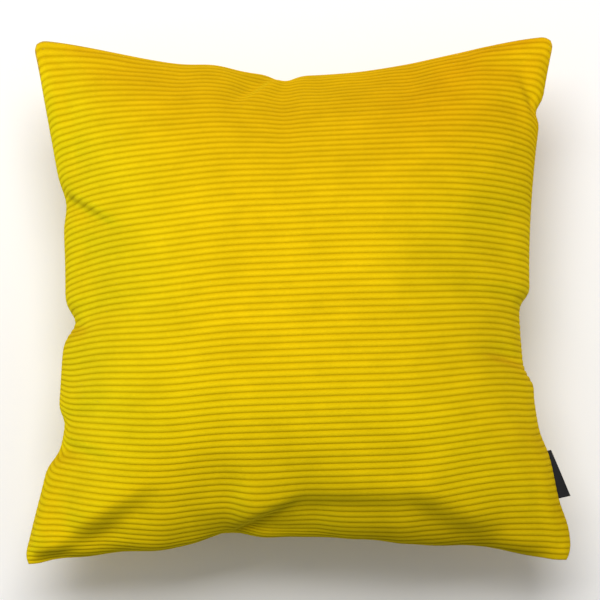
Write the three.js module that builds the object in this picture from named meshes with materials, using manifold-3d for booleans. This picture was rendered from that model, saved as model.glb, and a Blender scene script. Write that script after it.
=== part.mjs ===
// A square throw pillow lying on its back panel: a corduroy cover with a zip in one side seam,
// a ribbon tab in another, and a fibre-filled insert. Millimetres, +Z up, +X to the right of the
// front face, -Y the zip side. The origin is in the middle of the patch that it rests on.
import * as THREE from 'three';
import { mergeVertices } from 'three/addons/utils/BufferGeometryUtils.js';
import Module from 'manifold-3d';

const wasm = await Module();
wasm.setup();

// ---- driving dimensions ----
const HALF = 213.5;               // from the middle to a corner's tip, along X and along Y
const SEAM_HEIGHT = 68;           // the side seam above the surface under the pillow
const FRONT_CROWN = 84;           // the front's middle above the side seam
const BACK_CROWN = 86;            // how deep the back would hang with nothing under it
const SIDE_PULL = 0.131;          // how far three of the sides draw in, as a share of HALF
const ZIP_SIDE_PULL = 0.13;       // and how far the zip side does
const SIDE_POWER = 2;             // the shape of a side's inward bow
const ZIP_SIDE_POWER = 6;         // a zip side is almost straight between its ears
const CELLS = 18;                 // facets across a panel, and along it

const PANEL = 2.2;                // corduroy thickness
const CASING = 1.0;               // insert cloth thickness
const GAP = 0.4;                  // clearance between the two halves of a seam

const INSERT_INSET = 15;          // the insert stops short of the cover's ears and sides
const INSERT_DROP = 5;            // and lies this far under the cover's crown
const FILL_INSET = INSERT_INSET + CASING + 4.6;
const FILL_DROP = INSERT_DROP + CASING + 0.6;
const FILL_EDGE = 1;              // the filling's blunt edge at the seam

const THREAD = 0.8;               // seam thread
const THREAD_INSET = PANEL + 0.5;
const OVERLOCK_INSET = 6.5;
const OVERLOCK_WIDTH = 2.2;
const OVERLOCK_HEIGHT = 1.0;

const ZIP_HALF = 156;             // half of the chain's length
const ZIP_SLOT_HALF = 165;        // half of the length of the opening in the seam
const SLOT_HALF_HEIGHT = 5;       // the panels' folded edges stop this far from the seam plane
const TAPE = 0.6;
const TAPE_TOP = 13.5;            // a tape's far edge, from the seam plane
const TAPE_LEAN = 3.6;            // how far its far edge leans in with the wall
const CHAIN_SPLIT = 0.7;          // from the seam plane to each coil: the slider's post runs between
const COIL_HEIGHT = 2.0;
const COIL_DEPTH = 1.6;
const COIL_SET_IN = 1.3;          // the coils' outer face behind the seam line
const TAPE_SET_IN = 3.2;          // the tapes' outer face behind the seam line
const STOP_LENGTH = 3;
const STITCH = 0.5;
const STITCH_LINE = 9;            // the tape stitching, from the seam plane
const STITCH_SET_IN = 4.8;

const SLIDER_AT = 150;            // the slider's place on X with the zip closed
const SLIDER_LENGTH = 8.4;
const SLIDER_WIDTH = 7.4;
const SLIDER_PLATE = 1.2;
const PLATE_CLEAR = 1.2;          // the leaning tape passes the inner plate at its edges
const POST_LENGTH = 2.6;
const POST_WIDTH = 0.7;
const BRIDGE_LENGTH = 5.2;
const BRIDGE_WIDTH = 1.6;
const BRIDGE_HEIGHT = 2.8;
const BRIDGE_WALL = 0.8;
const PIN_RADIUS = 0.55;
const PULL_LENGTH = 22;
const PULL_WIDTH = 6.4;
const PULL_THICKNESS = 1.0;
const PULL_WINDOW = 3.7;          // the open stretch of the tab that swings over the bridge
const PULL_ARM = 1.2;

const TAB_WIDTH = 38;             // the ribbon tab along the seam
const TAB_REACH = 4.4;            // and out from it, at its middle
const TAB_TAPER = 0.147;          // it is sewn in askew: its fold leans this much more than its root
const TAB_PLY = 0.5;
const TAB_FOLD = 1.6;             // both plies and the air between them
const TAB_MIDDLE = -143.7;        // its middle on Y
const TAB_CLEAR = 1.3;            // room at its root to bend up and down

const CARE = { from: [-0.93, -0.28], to: [-0.52, -0.16], cells: 6, inset: 9, drop: 3.2, ply: 0.5 };
const INSERT_TAB = { from: [0.60, 0.16], to: [0.90, 0.26], cells: 6, inset: 9, drop: 3.2, ply: 0.5 };

const FRONT = 1;
const BACK = -1;

// ---- materials ----
const finish = (color, roughness, metalness = 0) =>
  new THREE.MeshStandardMaterial({ color, roughness, metalness });
const CORDUROY = finish('#e3bb12', 0.95);
const THREAD_YELLOW = finish('#d9ab10', 0.8);
const TAPE_CLOTH = finish('#d6ac14', 0.85);
const NYLON = finish('#dcb321', 0.5);
const STOP_METAL = finish('#c9a02c', 0.4, 1);
const SLIDER_METAL = finish('#b9913a', 0.35, 1);
const RIBBON_BLACK = finish('#16161a', 0.45);
const RIBBON_WHITE = finish('#f1efe8', 0.55);
const CASING_CLOTH = finish('#f4f1ea', 0.9);
const FIBRE = finish('#fbfaf6', 1.0);
const THREAD_WHITE = finish('#efece4', 0.8);

// ---- shapes that repeat ----

// A point of the pillow's skin. across and along run from -1 to 1 over a panel, inset and drop move
// the skin inwards at its sides and at its crown, and face is FRONT or BACK.
function skin(across, along, face, inset, drop) {
  const u = Math.sin(across * Math.PI / 2);
  const v = Math.sin(along * Math.PI / 2);
  const half = HALF - inset;
  const zipShare = (1 - v) / 2;
  const pull = SIDE_PULL * (1 - zipShare) * (1 - Math.abs(u) ** SIDE_POWER)
    + ZIP_SIDE_PULL * zipShare * (1 - Math.abs(u) ** ZIP_SIDE_POWER);
  const rise = Math.cos(across * Math.PI / 2) * Math.cos(along * Math.PI / 2);
  const front = (FRONT_CROWN - drop) * rise;
  const back = -Math.min((BACK_CROWN - drop) * rise, SEAM_HEIGHT - drop);
  return [
    half * u * (1 - SIDE_PULL * (1 - v * v)),
    half * v * (1 - pull),
    SEAM_HEIGHT + (face === FRONT ? front : back),
  ];
}

// Where a panel's zip edge lies: at the seam, or drawn back from it along the zip's opening.
function zipEdge(across, face, drop) {
  const angle = across * Math.PI / 2;
  if (Math.abs(HALF * Math.sin(angle)) > ZIP_SLOT_HALF) return -1;
  const crown = (face === FRONT ? FRONT_CROWN : BACK_CROWN) - drop;
  return -Math.acos(SLOT_HALF_HEIGHT / (crown * Math.cos(angle))) * 2 / Math.PI;
}

// One closed solid between two grids of points, joined round their rims. upper faces +Z.
function gridSolid(upper, lower, columns, rows) {
  const positions = [];
  const faces = [];
  const stride = rows + 1;
  const layer = (columns + 1) * stride;
  for (const sheet of [upper, lower]) {
    for (let i = 0; i <= columns; i++) {
      for (let j = 0; j <= rows; j++) positions.push(...sheet(i / columns, j / rows));
    }
  }
  const at = (i, j) => i * stride + j;
  const quad = (a, b, c, d) => faces.push(a, b, c, a, c, d);
  for (let i = 0; i < columns; i++) {
    for (let j = 0; j < rows; j++) {
      // each quad's fold runs towards the panel's own corner, so that no corner lies flat
      const ring = [at(i, j), at(i + 1, j), at(i + 1, j + 1), at(i, j + 1)];
      if ((i < columns / 2) !== (j < rows / 2)) ring.push(ring.shift());
      const [p, q, r, w] = ring;
      quad(p, q, r, w);
      quad(layer + p, layer + w, layer + r, layer + q);
    }
  }
  const wall = (a, b) => quad(b, a, layer + a, layer + b);
  for (let i = 0; i < columns; i++) {
    wall(at(i, 0), at(i + 1, 0));
    wall(at(i + 1, rows), at(i, rows));
  }
  for (let j = 0; j < rows; j++) {
    wall(at(columns, j), at(columns, j + 1));
    wall(at(0, j + 1), at(0, j));
  }
  return indexed(positions, faces);
}

function indexed(positions, faces) {
  const geometry = new THREE.BufferGeometry();
  geometry.setAttribute('position', new THREE.Float32BufferAttribute(positions, 3));
  geometry.setIndex(faces);
  geometry.computeVertexNormals();
  return geometry;
}

const mix = (a, b, share) => a + (b - a) * share;

// A whole panel of cloth, from inset and drop to a thickness further in.
function panelShell(face, inset, drop, thickness, hasZip) {
  const sheet = (deeper) => (s, t) => {
    const across = mix(-1, 1, s);
    const lowest = hasZip ? zipEdge(across, face, drop + deeper) : -1;
    const point = skin(across, mix(lowest, 1, t), face, inset + deeper, drop + deeper);
    point[2] = Math.max(point[2] + face * GAP / 2, drop + deeper);
    return point;
  };
  const [outside, inside] = [sheet(0), sheet(thickness)];
  return face === FRONT
    ? gridSolid(outside, inside, CELLS, CELLS)
    : gridSolid(inside, outside, CELLS, CELLS);
}

// A small flat ribbon that lies against the inside of a panel.
function ribbonPatch(face, { from, to, cells, inset, drop, ply }) {
  const sheet = (deeper) => (s, t) =>
    skin(mix(from[0], to[0], s), mix(from[1], to[1], t), face, inset + deeper, drop + deeper);
  const [outside, inside] = [sheet(0), sheet(ply)];
  return face === FRONT
    ? gridSolid(outside, inside, cells, cells)
    : gridSolid(inside, outside, cells, cells);
}

// The seam line's stations, on the panels' own grid: from the zip's right end anticlockwise to its
// left end, or all round. The corners themselves are cut across.
function seamStations(allRound) {
  const inner = Array.from({ length: CELLS - 1 }, (_, k) => -1 + 2 * (k + 1) / CELLS);
  const backwards = inner.map((share) => -share);
  const sewn = inner.filter((across) => allRound || zipEdge(across, FRONT, 0) === -1);
  return [
    ...sewn.filter((across) => across > 0).map((across) => [across, -1]),
    ...inner.map((along) => [1, along]),
    ...backwards.map((across) => [across, 1]),
    ...backwards.map((along) => [-1, along]),
    ...sewn.filter((across) => across <= 0).map((across) => [across, -1]),
  ];
}

// A thread that follows the seam line, as a strip of rectangular section.
function seamThread(inset, width, height, allRound) {
  const positions = [];
  const faces = [];
  const stations = seamStations(allRound);
  for (const [across, along] of stations) {
    const [ox, oy] = skin(across, along, FRONT, inset, 0);
    const [ix, iy] = skin(across, along, FRONT, inset + width, 0);
    const [low, high] = [SEAM_HEIGHT - height / 2, SEAM_HEIGHT + height / 2];
    positions.push(ox, oy, low, ox, oy, high, ix, iy, high, ix, iy, low);
  }
  const rings = stations.length;
  const spans = allRound ? rings : rings - 1;
  for (let r = 0; r < spans; r++) {
    const here = 4 * r;
    const next = 4 * ((r + 1) % rings);
    for (let k = 0; k < 4; k++) {
      const [a, b] = [here + k, here + (k + 1) % 4];
      const [c, d] = [next + (k + 1) % 4, next + k];
      faces.push(a, d, c, a, c, b);
    }
  }
  if (!allRound) {
    const last = 4 * (rings - 1);
    faces.push(0, 1, 2, 0, 2, 3);
    faces.push(last + 2, last + 1, last, last + 3, last + 2, last);
  }
  return indexed(positions, faces);
}

// A straight bar along X with a section drawn in Y and Z.
function barAlongX(section, fromX, toX) {
  const shape = new THREE.Shape(section.map(([y, z]) => new THREE.Vector2(y, z)));
  const bar = new THREE.ExtrudeGeometry(shape, { depth: toX - fromX, bevelEnabled: false });
  // the shape's own X, Y and depth become Y, Z and X
  bar.applyMatrix4(new THREE.Matrix4().set(
    0, 0, 1, fromX,
    1, 0, 0, 0,
    0, 1, 0, 0,
    0, 0, 0, 1,
  ));
  return bar;
}

function box(x, y, z) {
  const geometry = new THREE.BoxGeometry(x[1] - x[0], y[1] - y[0], z[1] - z[0]);
  geometry.translate((x[0] + x[1]) / 2, (y[0] + y[1]) / 2, (z[0] + z[1]) / 2);
  return geometry;
}

function solid(geometry) {
  const bare = geometry.clone();
  bare.deleteAttribute('normal');
  bare.deleteAttribute('uv');
  const welded = mergeVertices(bare);
  return new wasm.Manifold(new wasm.Mesh({
    numProp: 3,
    vertProperties: new Float32Array(welded.attributes.position.array),
    triVerts: new Uint32Array(welded.index.array),
  }));
}

function joined(...geometries) {
  const whole = geometries.map(solid).reduce((a, b) => a.add(b));
  const { vertProperties, triVerts } = whole.getMesh();
  return indexed(Array.from(vertProperties), Array.from(triVerts));
}

// ---- the pieces ----

const pillow = new THREE.Group();

function add(name, geometry, material, position = [0, 0, 0], turnZ = 0) {
  const mesh = new THREE.Mesh(geometry, material);
  mesh.name = name;
  mesh.position.set(...position);
  mesh.rotation.z = turnZ;
  pillow.add(mesh);
}

// the seam line on the zip side, at the zip's middle
const ZIP_LINE = -HALF * (1 - ZIP_SIDE_PULL);

function addCover() {
  add('cover_front_panel', panelShell(FRONT, 0, 0, PANEL, true), CORDUROY);
  add('cover_back_panel', panelShell(BACK, 0, 0, PANEL, true), CORDUROY);
  add('cover_seam_thread', seamThread(THREAD_INSET, THREAD, THREAD, false), THREAD_YELLOW);
  const overlock = seamThread(OVERLOCK_INSET, OVERLOCK_WIDTH, OVERLOCK_HEIGHT, false);
  add('cover_overlock_thread', overlock, THREAD_YELLOW);
  add('care_ribbon', ribbonPatch(BACK, CARE), RIBBON_WHITE);
}

function addInsert() {
  const [inset, drop] = [INSERT_INSET, INSERT_DROP];
  add('insert_front_casing', panelShell(FRONT, inset, drop, CASING, false), CASING_CLOTH);
  add('insert_back_casing', panelShell(BACK, inset, drop, CASING, false), CASING_CLOTH);
  const thread = seamThread(inset + CASING + 0.5, THREAD, THREAD, true);
  add('insert_seam_thread', thread, THREAD_WHITE);
  const fill = (face) => (s, t) => {
    const point = skin(mix(-1, 1, s), mix(-1, 1, t), face, FILL_INSET, FILL_DROP);
    point[2] += face * FILL_EDGE / 2;
    return point;
  };
  add('insert_filling', gridSolid(fill(FRONT), fill(BACK), CELLS, CELLS), FIBRE);
  add('insert_ribbon', ribbonPatch(FRONT, INSERT_TAB), RIBBON_WHITE);
}

// The half of the zip that is sewn to one panel: its tape, coil, stitching and top stop.
function addZipHalf(side, face) {
  const z = (distance) => SEAM_HEIGHT + face * distance;
  const ordered = (section) => (face === FRONT ? section : section.reverse());
  const near = ZIP_LINE + TAPE_SET_IN;
  const far = near + TAPE_LEAN;
  const tape = ordered([
    [near, z(CHAIN_SPLIT + 0.2)],
    [near + TAPE, z(CHAIN_SPLIT + 0.2)],
    [far + TAPE, z(TAPE_TOP)],
    [far, z(TAPE_TOP)],
  ]);
  add(`zip_tape_${side}`, barAlongX(tape, -ZIP_SLOT_HALF, ZIP_SLOT_HALF), TAPE_CLOTH);

  const bevel = 0.5;
  const [out, inn] = [ZIP_LINE + COIL_SET_IN, ZIP_LINE + COIL_SET_IN + COIL_DEPTH];
  const [low, high] = [CHAIN_SPLIT, CHAIN_SPLIT + COIL_HEIGHT];
  const coil = ordered([
    [out + bevel, z(low)], [inn - bevel, z(low)], [inn, z(low + bevel)], [inn, z(high - bevel)],
    [inn - bevel, z(high)], [out + bevel, z(high)], [out, z(high - bevel)], [out, z(low + bevel)],
  ]);
  add(`zip_coil_${side}`, barAlongX(coil, -ZIP_HALF + GAP, ZIP_HALF - GAP), NYLON);

  const line = ZIP_LINE + STITCH_SET_IN;
  const stitch = box([-ZIP_SLOT_HALF, ZIP_SLOT_HALF], [line - STITCH / 2, line + STITCH / 2],
    [z(STITCH_LINE) - STITCH / 2, z(STITCH_LINE) + STITCH / 2]);
  add(`zip_stitch_${side}`, stitch, THREAD_YELLOW);

  const stop = box([ZIP_HALF, ZIP_HALF + STOP_LENGTH], [out, inn],
    [Math.min(z(low), z(high)), Math.max(z(low), z(high))]);
  add(`zip_top_stop_${side}`, stop, STOP_METAL);
}

function addBottomStop() {
  const reach = CHAIN_SPLIT + COIL_HEIGHT;
  const front = ZIP_LINE + COIL_SET_IN;
  const stop = box([-ZIP_HALF - STOP_LENGTH, -ZIP_HALF], [front, front + COIL_DEPTH],
    [SEAM_HEIGHT - reach, SEAM_HEIGHT + reach]);
  add('zip_bottom_stop', stop, STOP_METAL);
}

// Two plates with a post between them that parts the coils, lips along the edges, and a bridge that
// the pull tab's pin runs under. Its origin is on the coils' outer face.
const PLATE_OUT = -0.4;                            // the outer plate's inner face
const PLATE_TOP = PLATE_OUT - SLIDER_PLATE;        // the outer plate's outer face
const PIN_OUT = PLATE_TOP - (BRIDGE_HEIGHT - BRIDGE_WALL) / 2;

function addSlider() {
  const [length, width] = [SLIDER_LENGTH / 2, SLIDER_WIDTH / 2];
  const backPlate = TAPE_SET_IN - COIL_SET_IN + TAPE + PLATE_CLEAR;
  const lipHeight = 0.6;
  const lipReach = COIL_DEPTH - 0.4;
  const bridge = BRIDGE_LENGTH / 2;
  const bridgeTop = PLATE_TOP - BRIDGE_HEIGHT;
  const overlap = 0.2;
  const body = joined(
    box([-length, length], [PLATE_TOP, PLATE_OUT], [-width, width]),
    box([-length, length], [backPlate, backPlate + SLIDER_PLATE], [-width, width]),
    box([-POST_LENGTH / 2, POST_LENGTH / 2], [PLATE_TOP + overlap, backPlate + overlap],
      [-POST_WIDTH / 2, POST_WIDTH / 2]),
    box([-length, length], [PLATE_OUT - overlap, lipReach], [width - lipHeight, width]),
    box([-length, length], [PLATE_OUT - overlap, lipReach], [-width, lipHeight - width]),
    box([-bridge, BRIDGE_WALL - bridge], [bridgeTop, PLATE_TOP + overlap],
      [-BRIDGE_WIDTH / 2, BRIDGE_WIDTH / 2]),
    box([bridge - BRIDGE_WALL, bridge], [bridgeTop, PLATE_TOP + overlap],
      [-BRIDGE_WIDTH / 2, BRIDGE_WIDTH / 2]),
    box([-bridge, bridge], [bridgeTop, bridgeTop + BRIDGE_WALL],
      [-BRIDGE_WIDTH / 2, BRIDGE_WIDTH / 2]),
  );
  add('zip_slider_body', body, SLIDER_METAL, [SLIDER_AT, ZIP_LINE + COIL_SET_IN, SEAM_HEIGHT]);
}

// A flat tab with a window at its root, turning on a pin. Its origin is on the pin's axis.
function addPullTab() {
  const [width, thick] = [PULL_WIDTH / 2, PULL_THICKNESS / 2];
  const pin = new THREE.CylinderGeometry(PIN_RADIUS, PIN_RADIUS, PULL_WIDTH - PULL_ARM, 12);
  pin.rotateX(Math.PI / 2);
  const tip = new THREE.CylinderGeometry(width, width, PULL_THICKNESS, 24);
  tip.translate(-PULL_LENGTH + width, 0, 0);
  const arms = [1, -1].map((side) => box([-PULL_WINDOW - 1, PIN_RADIUS], [-thick, thick],
    side > 0 ? [width - PULL_ARM, width] : [-width, PULL_ARM - width]));
  const plate = box([-PULL_LENGTH + width, -PULL_WINDOW], [-thick, thick], [-width, width]);
  const tab = joined(plate, tip, pin, ...arms);
  const at = [SLIDER_AT, ZIP_LINE + COIL_SET_IN + PIN_OUT, SEAM_HEIGHT];
  add('zip_pull_tab', tab, SLIDER_METAL, at);
}

// A ribbon folded in two, with its fold outwards. Its origin is on its sewn edge.
function addSideTab() {
  const seamAt = (y) => {
    const v = y / HALF;
    return HALF * (1 - SIDE_PULL * (1 - v * v));
  };
  const [top, bottom] = [TAB_MIDDLE + TAB_WIDTH / 2, TAB_MIDDLE - TAB_WIDTH / 2];
  const lean = Math.atan2(seamAt(bottom) - seamAt(top), TAB_WIDTH);
  const middle = (seamAt(top) + seamAt(bottom)) / 2;

  const reach = TAB_REACH;
  const round = TAB_FOLD / 2;
  const hollow = round - TAB_PLY;
  const section = new THREE.Shape();
  section.moveTo(0, -round);
  section.lineTo(reach - round, -round);
  section.absarc(reach - round, 0, round, -Math.PI / 2, Math.PI / 2, false);
  section.lineTo(0, round);
  section.lineTo(0, hollow);
  section.lineTo(reach - round, hollow);
  section.absarc(reach - round, 0, hollow, Math.PI / 2, -Math.PI / 2, true);
  section.lineTo(0, -hollow);
  section.closePath();
  const options = { depth: TAB_WIDTH, bevelEnabled: false, curveSegments: 8 };
  const ribbon = new THREE.ExtrudeGeometry(section, options);
  ribbon.translate(0, 0, -TAB_WIDTH / 2);
  ribbon.rotateX(Math.PI / 2);                     // the section's Y becomes Z
  const points = ribbon.attributes.position;
  for (let i = 0; i < points.count; i++) {
    if (points.getX(i) > 0) points.setX(i, points.getX(i) - TAB_TAPER * points.getY(i));
  }
  add('side_ribbon_tab', ribbon, RIBBON_BLACK,
    [middle + TAB_CLEAR * Math.cos(lean), TAB_MIDDLE + TAB_CLEAR * Math.sin(lean), SEAM_HEIGHT],
    lean);
}

addCover();
addInsert();
addZipHalf('front', FRONT);
addZipHalf('back', BACK);
addBottomStop();
addSlider();
addPullTab();
addSideTab();

export default pillow;
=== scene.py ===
"""A yellow corduroy throw pillow, lying on its back panel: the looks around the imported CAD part.

Metres, in the CAD frame: +Z out of the front panel, +X along the ribs, -Y the side with the zip.
"""
import math

import bmesh
import bpy
import numpy as np
from mathutils import Euler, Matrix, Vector


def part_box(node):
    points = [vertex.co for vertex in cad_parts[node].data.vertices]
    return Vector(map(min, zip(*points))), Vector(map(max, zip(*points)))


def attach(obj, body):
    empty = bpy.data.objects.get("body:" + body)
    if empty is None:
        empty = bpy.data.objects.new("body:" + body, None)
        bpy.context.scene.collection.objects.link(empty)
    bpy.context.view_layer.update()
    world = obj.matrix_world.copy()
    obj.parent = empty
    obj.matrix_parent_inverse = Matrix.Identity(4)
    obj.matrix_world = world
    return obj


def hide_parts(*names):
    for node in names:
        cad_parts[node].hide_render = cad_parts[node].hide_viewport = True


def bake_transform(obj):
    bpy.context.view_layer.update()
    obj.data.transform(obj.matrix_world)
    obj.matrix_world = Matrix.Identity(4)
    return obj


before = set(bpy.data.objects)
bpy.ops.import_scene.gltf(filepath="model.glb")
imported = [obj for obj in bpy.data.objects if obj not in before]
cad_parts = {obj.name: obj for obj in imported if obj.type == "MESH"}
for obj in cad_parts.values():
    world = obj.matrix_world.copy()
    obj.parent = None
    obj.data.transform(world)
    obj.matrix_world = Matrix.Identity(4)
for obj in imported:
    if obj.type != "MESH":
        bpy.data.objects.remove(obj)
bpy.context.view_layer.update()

MM = 0.001
FRONT, BACK = 1, -1
FACES = (("front", FRONT), ("back", BACK))

# ---- sizes that the CAD part gives ----
front_low, front_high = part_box("cover_front_panel")
HALF = front_high.x  # from the middle to a corner's tip
SEAM_Z = (front_low.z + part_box("cover_back_panel")[1].z) / 2
CROWN = front_high.z - SEAM_Z
coil_low, coil_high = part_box("zip_coil_front")
tape_low, tape_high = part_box("zip_tape_front")
ZIP_LINE = coil_low.y - 1.3 * MM  # the seam line on the zip side
SLOT_HALF = tape_high.x  # half of the zip's opening

# ---- sizes of the cloth ----
CLOTH = 450 * MM  # a panel's side inside its seam, lying flat
RIBS = 87
RIB_HEIGHT = 0.8 * MM
RIB_PHASES = (0.0, 0.08, 0.25, 0.5, 0.75, 0.92)  # where a rib is sampled, groove to groove
COLUMN_PITCH = 2.7 * MM
COLUMN_MARGIN = 3.6 * MM  # from a seam to the first of the even columns
SEAM_ROLL = (0.5 * MM, 1.2 * MM, 2.2 * MM)  # extra samples beside a seam
ALLOWANCE = (1.5 * MM, 4 * MM, 8 * MM)  # samples of the cloth turned in behind a seam
ALLOWANCE_SLANT = 1.2  # how far that slides along the seam, as a share
RIB_ENDS = (3 * MM, 0.25)  # where a rib flattens at its ends, to what share

# ---- how the ribs run across a panel: places are on the cloth, from its lower left corner ----
RIB_TURN = 0.04  # they climb this much to the right
RIB_ARCH = (12 * MM, 150 * MM)  # and hang on both sides: how far, how wide the arch
RIB_UPTURN = (24 * MM, 100 * MM, 75 * MM)  # low down their ends turn up: height, place, width
UPTURN_LEFT = (1.0, 22 * MM)  # share of the height, and reach into the panel
UPTURN_RIGHT = (0.3, 30 * MM)
RIB_SAG = (6 * MM, 45 * MM, 45 * MM)  # they sag beside the notch: depth, place, width
SAG_ENDS = (130 * MM, 190 * MM, 365 * MM)  # the sag's start, deepest place and end
RIB_EAR = (13 * MM, 400 * MM, 50 * MM, 20 * MM)  # and bend down over one ear, with this reach
STRAIGHT_EDGE = 6  # the power that keeps the outermost ribs on a seam

# ---- the first shape ----
CORNER_RADIUS = 12 * MM
LOW_CORNER_RADIUS = 20 * MM  # at the two corners beside the zip
TOP_LIFT = 10 * MM  # how much higher the seam stands on the top side
SEAM_WAVE = (2 * MM, 5.1)  # how far the seam wanders up and down, how fast
FIRST_CROWN = 82 * MM  # before the cloth settles
CROWN_SHIFT = -14 * MM  # the filling has settled towards the zip side
WAIST = 0.88  # half the pillow's waist, as a share of HALF
BOW_FADE = 1.5  # the power by which a side's bow fades inwards
TUCK_FADE = 9  # and its tucks, which reach only a little way
FULLNESS = {"across": 2.0, "low": 3.05, "high": 1.9}  # 2 is an ellipse, and more is boxier
GRID = 90  # cells of the simulated cloth, each way
FINE = 3  # finer cells in one simulated cell

# ---- the seam line: each side's bow and its tucks ----
# bow: how far the side draws in, and the two powers of its curve
# tucks: (share along the side from -1 to 1, depth, width as a share, sharpness)
SIDES = {
    "left": {"bow": (30 * MM, 2.0, 1.0), "tucks": [
        (-0.095, 9 * MM, 0.055, 2), (0.36, 4 * MM, 0.07, 2), (0.7, -2 * MM, 0.25, 2),
        (-0.52, 7 * MM, 0.09, 4), (-0.45, 2 * MM, 0.15, 2)]},
    "right": {"bow": (27 * MM, 2.0, 1.0), "tucks": [
        (-0.165, 9 * MM, 0.155, 8), (0.70, 4 * MM, 0.035, 2), (-0.44, 3.5 * MM, 0.12, 4),
        (-0.86, -3 * MM, 0.08, 2), (-0.66, -1.5 * MM, 0.1, 2)]},
    "bottom": {"bow": (28.2 * MM, 5.0, 1.0), "tucks": [
        (-0.60, -10.5 * MM, 0.22, 4), (0.60, -8 * MM, 0.28, 4), (-0.85, -4.5 * MM, 0.12, 2),
        (0.86, -3.5 * MM, 0.12, 2)]},
    "top": {"bow": (32 * MM, 2.0, 1.7), "tucks": [
        (-0.04, 6 * MM, 0.05, 2), (-0.30, -4 * MM, 0.10, 2)]},
}


def smooth(x, low, high):
    """From 0 at low to 1 at high, easing in and out."""
    t = np.clip((x - low) / (high - low), 0, 1)
    return t * t * (3 - 2 * t)


def unit(vectors):
    return vectors / (np.linalg.norm(vectors, axis=-1, keepdims=True) + 1e-12)


def lengths(lines):
    """How far along its line each point is, for an array of (..., point, xyz)."""
    steps = np.linalg.norm(np.diff(lines, axis=-2), axis=-1)
    return np.insert(np.cumsum(steps, axis=-1), 0, 0, axis=-1)


def bell(x, middle, width, power=2):
    """1 at its middle, and falling away on both sides: more squarely with a higher power."""
    return np.exp(-np.abs((x - middle) / width) ** power)


def side_line(name, shares, with_tucks=True):
    """Where a side's seam runs, at shares along it: (distance along the side, distance drawn in)."""
    depth, inner, outer = SIDES[name]["bow"]
    drawn = depth * np.power(1 - np.abs(shares) ** inner, outer)
    for at, deep, width, sharp in SIDES[name]["tucks"] if with_tucks else ():
        drawn = drawn + deep * bell(shares, at, width, sharp)
    low = np.full(len(shares), name == "bottom") if name in ("bottom", "top") else shares < 0
    radius = np.where(low, LOW_CORNER_RADIUS, CORNER_RADIUS)
    straight = (HALF - radius) / HALF
    angle = np.clip((np.abs(shares) - straight) / (1 - straight), 0, 1) * math.pi / 4
    along = np.where(angle > 0, HALF - radius * (1 - np.sin(angle)), HALF * np.abs(shares))
    drawn = drawn + radius * (1 - np.cos(angle))
    return np.sign(shares) * along, drawn


def seam_border(shares, with_tucks=True):
    """The seam line on all four sides, each an array of points from its lower or left end."""
    height, rate = SEAM_WAVE
    border = {}
    for name in SIDES:
        along, drawn = side_line(name, shares, with_tucks)
        edge = (HALF - drawn) * (1 if name in ("right", "top") else -1)
        x, y = (edge, along) if name in ("left", "right") else (along, edge)
        # any number serves as a side's phase, so long as the sides differ
        wave = height * np.sin(shares * rate + len(name)) * (1 - shares ** 2)
        # it stands a little higher at the top side, where the filling is thinner
        lift = SEAM_Z + TOP_LIFT * smooth(y, -HALF * 0.5, HALF)
        border[name] = np.stack([x, y, lift + wave], axis=1)
    return border


def coons(border, power):
    """Fills a grid from four sides of offsets, each fading across it by a power."""
    from_far = 1 - np.linspace(0, 1, len(border["left"]))
    near, far = from_far ** power, (1 - from_far) ** power
    left, right, bottom, top = (border[k] for k in ("left", "right", "bottom", "top"))
    grid = near[:, None, None] * left[None] + far[:, None, None] * right[None]
    grid = grid + near[None, :, None] * bottom[:, None] + far[None, :, None] * top[:, None]
    for a, b, corner in ((near, near, left[0]), (near, far, left[-1]),
                         (far, near, right[0]), (far, far, right[-1])):
        grid = grid - a[:, None, None] * b[None, :, None] * corner
    return grid


def even_profile(shares, low, high, power_low, power_high):
    """A full, rounded profile at even steps of cloth: places from -low to high, and its rise."""
    angle = np.linspace(-math.pi / 2, math.pi / 2, 4001)
    power = np.where(angle < 0, power_low, power_high)
    place = np.where(angle < 0, -low, high) * np.abs(np.sin(angle)) ** (2 / power)
    rise = np.cos(angle) ** (2 / power)
    steps = np.hypot(np.diff(place), FIRST_CROWN * np.diff(rise))
    length = np.concatenate([[0], np.cumsum(steps)])
    at = (shares + 1) / 2 * length[-1]
    return np.interp(at, length, place), np.interp(at, length, rise)


def first_shape():
    """Front and back grids of the filled pillow before the cloth settles."""
    shares = np.linspace(-1, 1, GRID + 1)
    border = seam_border(shares)
    waist = HALF * WAIST
    across, rise_x = even_profile(shares, waist, waist, FULLNESS["across"], FULLNESS["across"])
    along, rise_y = even_profile(shares, waist + CROWN_SHIFT, waist - CROWN_SHIFT,
                                 FULLNESS["low"], FULLNESS["high"])
    x, y = np.meshgrid(across / waist * HALF, (along + CROWN_SHIFT) / waist * HALF, indexing="ij")
    flat = np.stack([x, y, np.full_like(x, SEAM_Z)], axis=2)
    edges = {"left": flat[0], "right": flat[-1], "bottom": flat[:, 0], "top": flat[:, -1]}
    bow = seam_border(shares, with_tucks=False)
    base = flat + coons({k: bow[k] - edges[k] for k in border}, BOW_FADE)
    base = base + coons({k: border[k] - bow[k] for k in border}, TUCK_FADE)
    grids = {}
    for face in (FRONT, BACK):
        grids[face] = base.copy()
        grids[face][..., 2] += face * FIRST_CROWN * rise_x[:, None] * rise_y[None, :]
    return grids


# ---- meshes ----

def quads(ids, face):
    """The four-sided faces of a grid of point numbers, turned outwards."""
    ring = [ids[:-1, :-1], ids[1:, :-1], ids[1:, 1:], ids[:-1, 1:]]
    return np.stack(ring if face == FRONT else ring[::-1], axis=2).reshape(-1, 4)


def placed(name, mesh):
    piece = bpy.data.objects.new(name, mesh)
    bpy.context.scene.collection.objects.link(piece)
    return piece


def new_object(name, points, faces):
    mesh = bpy.data.meshes.new(name)
    mesh.from_pydata(np.asarray(points).tolist(), [], faces)
    mesh.update()
    return placed(name, mesh)


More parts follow.
